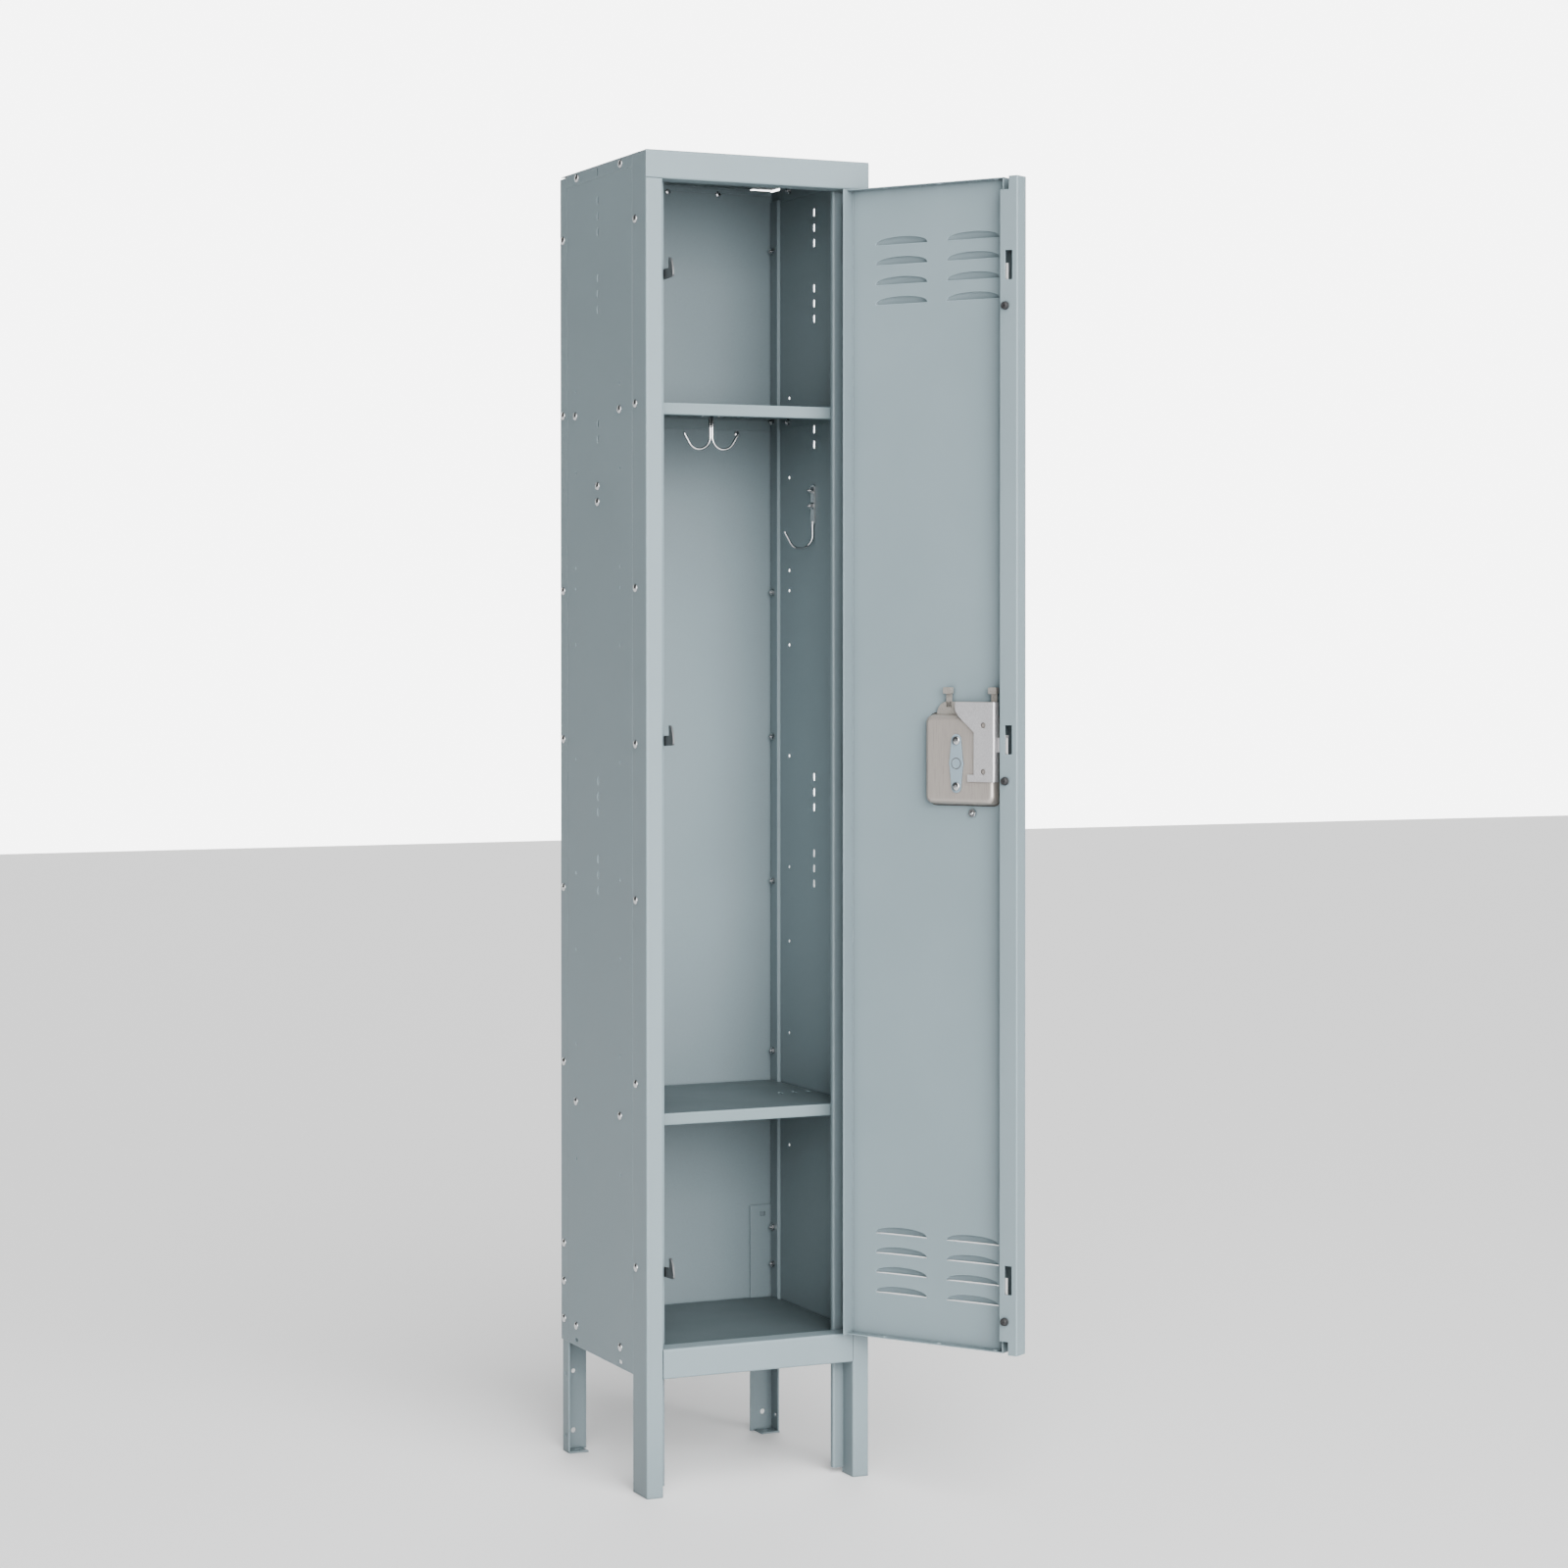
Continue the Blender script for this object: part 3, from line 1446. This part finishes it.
@dataclass
class Latch:
    """The drawn cup, the lift with its lugs, the plate behind it and the lock hole's cover."""

    shop: Workshop
    depth: float = 16.0
    sheet: float = 0.8
    rim: float = 5.0
    rim_back: float = 0.3
    corner: float = 11.0
    wall_slant: float = 1.6
    floor_radius: float = 6.5
    lock_bore: float = 8.0
    passage_x: Span = (76.0, 150.5)
    passage_y: Span = (4.6, 7.8)
    lift_x: Span = (77.5, 149.0)
    lift_y: Span = (5.4, 6.9)
    lift_round: float = 15.5
    lift_top: float = 992.0
    lug_x: Span = (131.5, 66.5)
    lug_z: Span = (985.0, 1004.0)
    lug_half: float = 4.0
    cap_half: float = 5.8
    cap_height: float = 8.1
    cap_depth: float = 5.0
    plate_right: float = 88.6
    tab_x: float = 97.8
    tab_top: float = 901.8
    slant_foot: float = 954.5
    slant_head: Point2 = (110.8, 974.0)
    shoulder: float = 981.5
    hole_x: float = 75.4
    hole_z: Span = (963.1, 905.5)
    hole_radius: float = 3.6
    nut_corner: float = 5.4
    cover_rise: float = 28.5
    cover_end: float = 7.0
    plate_left: float = 59.0
    screw_radius: float = 5.4
    cover_waist: float = 9.0

    def cup_outline(self, inset: float, corner: float) -> list[Point2]:
        """The cup's outline, moved in from its opening's edge."""
        low, high = self.shop.corners("handle_cup")
        inset += self.rim
        z = (low.z + inset, high.z - inset)
        return rounded_outline((low.x + inset, high.x - inset), z, max(corner, 0.6))

    def build(self) -> None:
        """Builds each piece of the latch."""
        self.build_cup()
        self.build_lift()
        self.build_plate()
        self.build_cover()
        self.build_fixing()

    def build_cup(self) -> None:
        """A deep-drawn cup: rolled rim, slanted wall and a generous radius at its floor."""
        front = -self.rim_back
        behind = front - self.sheet
        round_off = self.floor_radius
        inside = []
        for step in range(7):
            angle = math.radians(90 * step / 6)
            inset = self.wall_slant + round_off * (1 - math.cos(angle))
            inside.append((inset, self.depth - round_off + round_off * math.sin(angle)))
        rings = []
        for inset, y in reversed(inside):
            rings.append((self.cup_outline(inset, self.corner - inset * 0.8), y))
        rings.append((self.cup_outline(0.3, self.corner), 1.0))
        rings.append((self.cup_outline(-0.4, self.corner), front))
        rings.append((self.cup_outline(-self.rim, self.corner + self.rim), front))
        rings.append((self.cup_outline(-self.rim, self.corner + self.rim), behind))
        rings.append((self.cup_outline(0.6, self.corner), behind))
        t = self.sheet
        for inset, y in inside:
            rings.append((self.cup_outline(inset + t, self.corner - inset * 0.8 - t), y - t))
        top = self.shop.corners("handle_cup")[1].z - self.rim
        lock = self.shop.corners("lock_hole_cover")
        centre = (lock[0] + lock[1]) / 2
        bore = Shape.turned(((0, -6), (self.lock_bore, -6), (self.lock_bore, 6), (0, 6)), 40)
        passage = Shape.box(self.passage_x, self.passage_y, (top - 8, top + 6))
        self.shop.piece(
            "handle_cup_drawn",
            Shape.loft(flat_rings(rings)),
            STAINLESS,
            Body.DOOR,
            Slot.CUP,
            stands_for=("handle_cup",),
            cutters=[passage, bore.at((centre.x, self.depth, centre.z), Axis.BACK)],
            crease=42.0,
        )

    def build_lift(self) -> None:
        """The lift: a grip in the cup, a plate above it and two capped guide lugs."""
        low, high = self.shop.corners("finger_lift")
        y = self.lift_y
        left, right = self.lift_x
        radius = self.lift_round
        foot = low.z + 1.2
        top = self.lift_top
        outline = [(left, foot), (right, foot)]
        outline += arc((right - radius, top - radius), radius, 0, 90, 14)
        outline += arc((left + 3, top - 3), 3.0, 90, 180, 6)
        plate = Shape.prism(outline, "xz", *y)
        joins = [Shape.box((left, right), (y[0] - 7.5, y[1] - 0.2), (low.z, low.z + 1.8))]
        for x in self.lug_x:
            joins.append(Shape.box((x - self.lug_half, x + self.lug_half), y, self.lug_z))
            cap = (x - self.cap_half, x + self.cap_half)
            outline = rounded_outline(cap, (high.z - self.cap_height, high.z), 1.4, 4)
            joins.append(Shape.prism(outline, "xz", y[0], y[1] + self.cap_depth))
        joins.append(Shape.box((62.5, 80.0), y, (self.lug_z[0], top)))
        self.shop.piece(
            "finger_lift_pressed",
            plate,
            LIFT_STEEL,
            Body.LIFT,
            Slot.LATCH,
            stands_for=("finger_lift",),
            unions=joins,
            soften=0.35,
        )

    def build_plate(self) -> None:
        """The plate behind the cup, with its slanted edge, two holes and the tab to the lock bar."""
        low, high = self.shop.corners("latch_plate")
        y = (self.depth + 1.6, self.depth + 3.1)
        left = self.plate_left + 6.0
        fold = ((left + 2.0, y[1]), (self.plate_left, y[1]), (self.plate_left, 9.0))
        outline = [
            (left, low.z),
            (self.tab_x, low.z),
            (self.tab_x, self.tab_top),
            (self.plate_right, self.tab_top),
            (self.plate_right, self.slant_foot),
            self.slant_head,
            (high.x, self.shoulder),
            (high.x, high.z),
            (left, high.z),
        ]
        joins = [
            Shape.prism(folded_outline(fold, y[1] - y[0], 1.6), "xy", low.z, high.z),
            Shape.box((low.x, 59.8), (11.0, 12.5), (930.0, 948.0)),
            Shape.box((66.0, 72.0), (7.2, y[0] + 0.4), (self.lug_z[0], 990.0)),
        ]
        bore = ((0, -5), (self.hole_radius, -5), (self.hole_radius, 5), (0, 5))
        holes = [Shape.turned(bore, 32).at((self.hole_x, y[0], z), Axis.BACK) for z in self.hole_z]
        self.shop.piece(
            "latch_plate_pressed",
            Shape.prism(outline, "xz", *y),
            LATCH_STEEL,
            Body.LIFT,
            Slot.LATCH,
            stands_for=("latch_plate",),
            unions=joins,
            cutters=holes,
            soften=0.3,
        )

    def build_cover(self) -> None:
        """The lens-shaped cover over the lock hole: a raised ring around its knock-out, and two screws."""
        low, high = self.shop.corners("lock_hole_cover")
        middle = (low + high) / 2
        half = (high - low) / 2
        end = self.cover_end
        outline = []
        for turn in (0, 180):
            side = arc((half.x - self.cover_waist, 0), self.cover_waist, -24, 24, 6)
            side += arc((0, half.z - end), end, 14, 166, 12)
            spin = Matrix.Rotation(math.radians(turn), 2)
            outline += [tuple(spin @ Vector(point)) for point in side]
        outline = [(middle.x + x, middle.z + z) for x, z in outline]
        base = low.y
        groove = self.ring(((5.9, 0.45), (7.3, 0.45), (7.3, 2.0), (5.9, 2.0)), (middle.x, base, middle.z))
        lip = self.ring(((5.2, 0.7), (5.3, 1.25), (5.85, 1.25), (5.85, 0.7)), (middle.x, base, middle.z))
        self.shop.piece(
            "lock_hole_cover_stamped",
            Shape.prism(outline, "xz", base, base + 1.0),
            COVER_ENAMEL,
            Body.DOOR,
            Slot.COVER,
            stands_for=("lock_hole_cover",),
            unions=[lip],
            cutters=[groove],
        )
        gap = self.ring(((5.9, 0.4), (7.3, 0.4), (7.3, 0.98), (5.9, 0.98)), (middle.x, base, middle.z))
        self.shop.piece("lock_hole_knockout_gap", gap, STRIKE_STEEL, Body.DOOR, Slot.DARK)
        for word, rise in (("upper", self.cover_rise), ("lower", -self.cover_rise)):
            self.build_screw(f"{word}_cover_screw", (middle.x, base + 1.3, middle.z + rise))

    def ring(self, profile: Sequence[Point2], place: Point3) -> Shape:
        """A ring of one cross-section around a line along +Y.

        Args:
            profile: The closed cross-section's (radius, height) corners.
            place: The ring's middle.

        Returns:
            The ring.
        """
        sides = 40
        rings = []
        for radius, height in (*profile, profile[0]):
            angles = (2 * math.pi * k / sides for k in range(sides))
            rings.append([Vector((radius * math.cos(a), radius * math.sin(a), height)) for a in angles])
        made = Shape.loft(rings, capped=False)
        bmesh.ops.remove_doubles(made.bm, verts=made.bm.verts, dist=1e-5)
        return made.at(place, Axis.BACK)

    def build_screw(self, node: str, place: Point3) -> None:
        """A pan-head screw with a cross recess.

        Args:
            node: The CAD screw that it stands for.
            place: The middle of its seat.
        """
        radius = self.screw_radius
        profile = [(0, 0), (radius - 0.1, 0), (radius, 0.5)]
        for step in range(1, 7):
            angle = math.radians(12 * step)
            profile.append((radius * math.cos(angle), 0.5 + 1.7 * math.sin(angle)))
        profile.append((0, 2.2))
        cross = []
        for turn in (32, 122):
            blade = Shape.prism(((-2.9, 2.6), (-2.1, 1.0), (2.1, 1.0), (2.9, 2.6)), "xz", -0.5, 0.5)
            cross.append(blade.moved(Matrix.Rotation(math.radians(turn), 4, "Z")).at(place, Axis.BACK))
        self.shop.piece(
            f"{node}_recessed",
            Shape.turned(profile, 36).at(place, Axis.BACK),
            CHROME,
            Body.DOOR,
            Slot.CHROME,
            stands_for=(node,),
            cutters=cross,
        )

    def build_fixing(self) -> None:
        """The bolt and the hexagon nut under the cup."""
        low, high = self.shop.corners("cup_nut")
        middle = (low + high) / 2
        corner = self.nut_corner
        blank = [(0, 0), (corner - 0.4, 0), (corner, 0.4), (corner, 2.7), (corner - 0.5, 3.2), (0, 3.2)]
        place = (middle.x, low.y, middle.z)
        bore = ((0, -1), (2.3, -1), (2.3, 5), (0, 5))
        self.shop.piece(
            "cup_nut_hexagon",
            Shape.turned(blank, 6, 15.0).at(place, Axis.BACK),
            CHROME,
            Body.DOOR,
            Slot.ZINC,
            stands_for=("cup_nut",),
            cutters=[Shape.turned(bore, 24).at(place, Axis.BACK)],
        )
        thread = [(0, 0.0)]
        for turn in range(9):
            thread += [(1.85, 0.1 + 0.55 * turn), (2.1, 0.37 + 0.55 * turn)]
        thread += [(1.6, 5.1), (0, 5.2)]
        bolt = Shape.turned(thread, 20).at(place, Axis.BACK)
        self.shop.piece("cup_bolt_threaded", bolt, CHROME, Body.DOOR, Slot.ZINC, stands_for=("cup_bolt",))


@dataclass
class Hooks:
    """The bright hooks: one on each side wall and a double one under the shelf."""

    shop: Workshop
    fasteners: Fasteners
    rod: float = 3.6
    bend: float = 17.5
    strip: float = 2.2
    wall_drop: float = 18.0
    wall_strip: float = 52.0
    double_bend: float = 15.5
    double_drop: float = 33.0
    sweep: float = 150.0
    tip: float = 14.0
    nut_apart: float = 22.4

    def centreline(self, drop: float, bend: float) -> list[Point2]:
        """A J's line: straight down, round the bend and up to its tip.

        Args:
            drop: How far it runs straight down.
            bend: The bend's radius.

        Returns:
            Its (outward, down) points.
        """
        line = [(0.0, drop * k / 6) for k in range(6)]
        steps = 26
        for step in range(steps + 1):
            angle = math.radians(self.sweep) * step / steps
            line.append((bend * (1 - math.cos(angle)), drop + bend * math.sin(angle)))
        last = line[-1]
        rise = math.radians(180 - self.sweep)
        for step in range(1, 4):
            along = self.tip * step / 3
            line.append((last[0] + along * math.sin(rise), last[1] - along * math.cos(rise)))
        return line

    def strap(self, x: Span, y: float, z: Span) -> Shape:
        """A flat strip with rounded edges, 10 mm wide."""
        outline = rounded_outline((y - 5, y + 5), z, 2.2, 5)
        return Shape.prism(outline, "yz", *x)

    def build(self) -> None:
        """Builds the three hooks."""
        width = self.shop.size[0]
        for side, way in (("left", 1), ("right", -1)):
            node = f"{side}_wall_hook"
            low, high = self.shop.corners(node)
            wall = low.x if side == "left" else high.x
            y = (low.y + high.y) / 2
            foot = high.z - self.wall_strip
            x = sorted((wall, wall + way * self.strip))
            start = wall + way * self.rod / 2
            line = self.centreline(self.wall_drop, self.bend)
            path = [Vector((start + way * out, y, foot + 4 - down)) for out, down in line]
            self.shop.piece(
                f"{node}_formed",
                self.strap(tuple(x), y, (foot, high.z)),
                CHROME,
                Body.CABINET,
                Slot.CHROME,
                stands_for=(node,),
                unions=[Shape.rod(path, self.rod / 2)],
            )
        self.build_double(width / 2)

    def build_double(self, middle: float) -> None:
        """The ceiling hook, whose two prongs part under the shelf.

        Args:
            middle: The cabinet's middle line.
        """
        node = "shelf_double_hook"
        low, high = self.shop.corners(node)
        y = (low.y + high.y) / 2
        under = high.z
        outline = rounded_outline((middle - 17, middle + 17), (y - 5, y + 5), 2.2, 5)
        plate = Shape.prism(outline, "xy", under - self.strip, under)
        prongs = []
        line = self.centreline(self.double_drop, self.double_bend)
        for way in (-1, 1):
            path = [Vector((middle + way * (1.7 + out), y, under - 1.2 - down)) for out, down in line]
            prongs.append(Shape.rod(path, self.rod / 2))
        self.shop.piece(
            f"{node}_formed",
            plate,
            CHROME,
            Body.CABINET,
            Slot.CHROME,
            stands_for=(node,),
            unions=prongs,
        )
        for number, way in enumerate((-1, 1), 1):
            place = (middle + way * self.nut_apart / 2, y, under - self.strip)
            nut = self.fasteners.nut(20.0 * number).at(place, Axis.DOWN)
            self.shop.piece(f"double_hook_nut_{number}", nut, ZINC, Body.CABINET, Slot.ZINC)


@dataclass
class Bumpers:
    """Three soft stops on the door's channel, with a domed face and a foot ring."""

    shop: Workshop

    def build(self) -> None:
        """Turns each bumper."""
        for word in TIERS:
            node = f"{word}_door_bumper"
            low, high = self.shop.corners(node)
            radius = (high.z - low.z) / 2
            height = high.y - low.y
            profile = [(0, 0), (radius - 0.2, 0), (radius, 0.3), (radius, 1.2), (radius - 0.45, 1.5)]
            for step in range(9):
                angle = math.radians(90 * step / 8)
                out = radius - 0.45 - 1.7 * (1 - math.cos(angle))
                profile.append((out, 2.6 + (height - 2.6) * math.sin(angle)))
            profile += [(radius * 0.35, height), (radius * 0.3, height - 0.7), (0, height - 0.8)]
            place = ((low.x + high.x) / 2, low.y, (low.z + high.z) / 2)
            shape = Shape.turned(profile, 36).at(place, Axis.BACK)
            self.shop.piece(f"{node}_turned", shape, BLACK_RUBBER, Body.DOOR, Slot.RUBBER, stands_for=(node,))


@dataclass
class Strikes:
    """The three welded hooks that the lock bar catches on."""

    shop: Workshop
    steps: int = 16

    def build(self) -> None:
        """Cuts each strike from plate and softens its edges."""
        for word in TIERS:
            node = f"{word}_strike_hook"
            low, high = self.shop.corners(node)
            base = low.z
            outline = [(36.0, base), (36.0, base + 12.5), (28.0, base + 13.6), (25.5, base + 13.4)]
            outline += arc((19.4, base + 14.9), 1.5, -90, -180, 5)
            outline += [(17.6, base + 26.4), (16.4, base + 26.4)]
            for step in range(1, self.steps + 1):
                angle = math.pi / 2 * step / self.steps
                outline.append((16.4 - 13.0 * math.sin(angle), base + 26.4 - 22.4 * (1 - math.cos(angle))))
            outline.append((5.5, base + 1.6))
            shape = Shape.prism(outline, "yz", low.x, high.x)
            self.shop.piece(
                f"{node}_plate",
                shape,
                STRIKE_STEEL,
                Body.CABINET,
                Slot.DARK,
                stands_for=(node,),
                soften=0.3,
            )


@dataclass
class LockBar:
    """The flat bar inside the door's channel, with a window and a tongue at each strike."""

    shop: Workshop
    sheet: float = 1.6
    near_x: float = 33.4
    window_x: Span = (31.4, 43.8)
    window_z: Span = (-14.5, 34.0)
    tongue_x: float = 39.7
    tongue_top: float = 12.6
    lug: tuple[Span, Span, Span] = ((44.0, 48.0), (10.0, 19.8), (948.5, 951.5))

    def build(self) -> None:
        """Cuts the bar and adds the lug that the latch lifts."""
        low, high = self.shop.corners("lock_bar")
        bar = Shape.box((self.near_x, high.x), (high.y - self.sheet, high.y), (low.z, high.z))
        windows = []
        through = (high.y - self.sheet - 2, high.y + 2)
        for word in TIERS:
            base = self.shop.corners(f"{word}_strike_hook")[0].z
            bottom, top = (base + rise for rise in self.window_z)
            shoulder = base + self.tongue_top
            windows.append(Shape.box((self.window_x[0], self.tongue_x), through, (bottom, shoulder + 1)))
            windows.append(Shape.box(self.window_x, through, (shoulder, top)))
        self.shop.piece(
            "lock_bar_punched",
            bar,
            BAR_STEEL,
            Body.BAR,
            Slot.ZINC,
            stands_for=("lock_bar",),
            unions=[Shape.box(*self.lug)],
            cutters=windows,
        )


def main() -> None:
    """Builds the scene in order and notes both boxes."""
    logging.basicConfig(level=logging.INFO, format="%(name)s: %(message)s")
    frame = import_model()
    Studio().build()
    shop = Workshop(frame)
    SheetMetal(shop).build()
    fasteners = Fasteners(shop)
    fasteners.build()
    Hinges(shop).build()
    Door(shop).build()
    Latch(shop).build()
    Hooks(shop, fasteners).build()
    Bumpers(shop).build()
    Strikes(shop).build()
    LockBar(shop).build()
    LOG.info("%d pieces made", shop.count)


if __name__ == "__main__":
    main()
